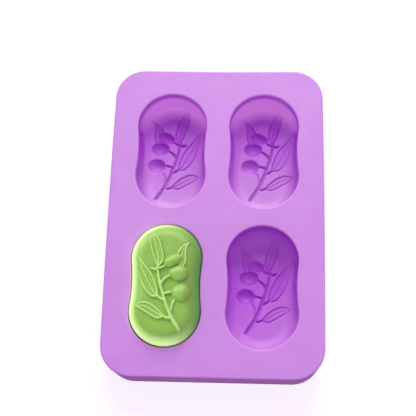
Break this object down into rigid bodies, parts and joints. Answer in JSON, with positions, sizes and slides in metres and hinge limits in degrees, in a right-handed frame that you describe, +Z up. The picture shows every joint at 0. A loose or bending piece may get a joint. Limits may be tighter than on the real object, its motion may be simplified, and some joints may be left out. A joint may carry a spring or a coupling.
{
  "type": "silicone soap mould",
  "caption": "Flexible rectangular mould with waisted oval cavities that print an olive branch, and a cast soap bar resting face up in one of them.",
  "frame": {"origin": "under the middle of the slab, on the face it rests on", "axes": "+X across the slab, +Y along it with the stems of the branches towards -Y, +Z up out of the cavities"},
  "size_m": [0.148, 0.222, 0.0402],
  "materials": {
    "lilac_silicone": "satin, slightly translucent silicone",
    "green_soap": "waxy, slightly translucent soap"
  },
  "bodies": {
    "mould": {"silicone_mould": "lilac_silicone"},
    "bar": {"soap_bar": "green_soap"}
  },
  "joints": [
    {"name": "soap_lift", "type": "slide", "parent": "mould", "child": "bar", "axis": [0, 0, 1], "range_m": [0, 0.05]}
  ]
}
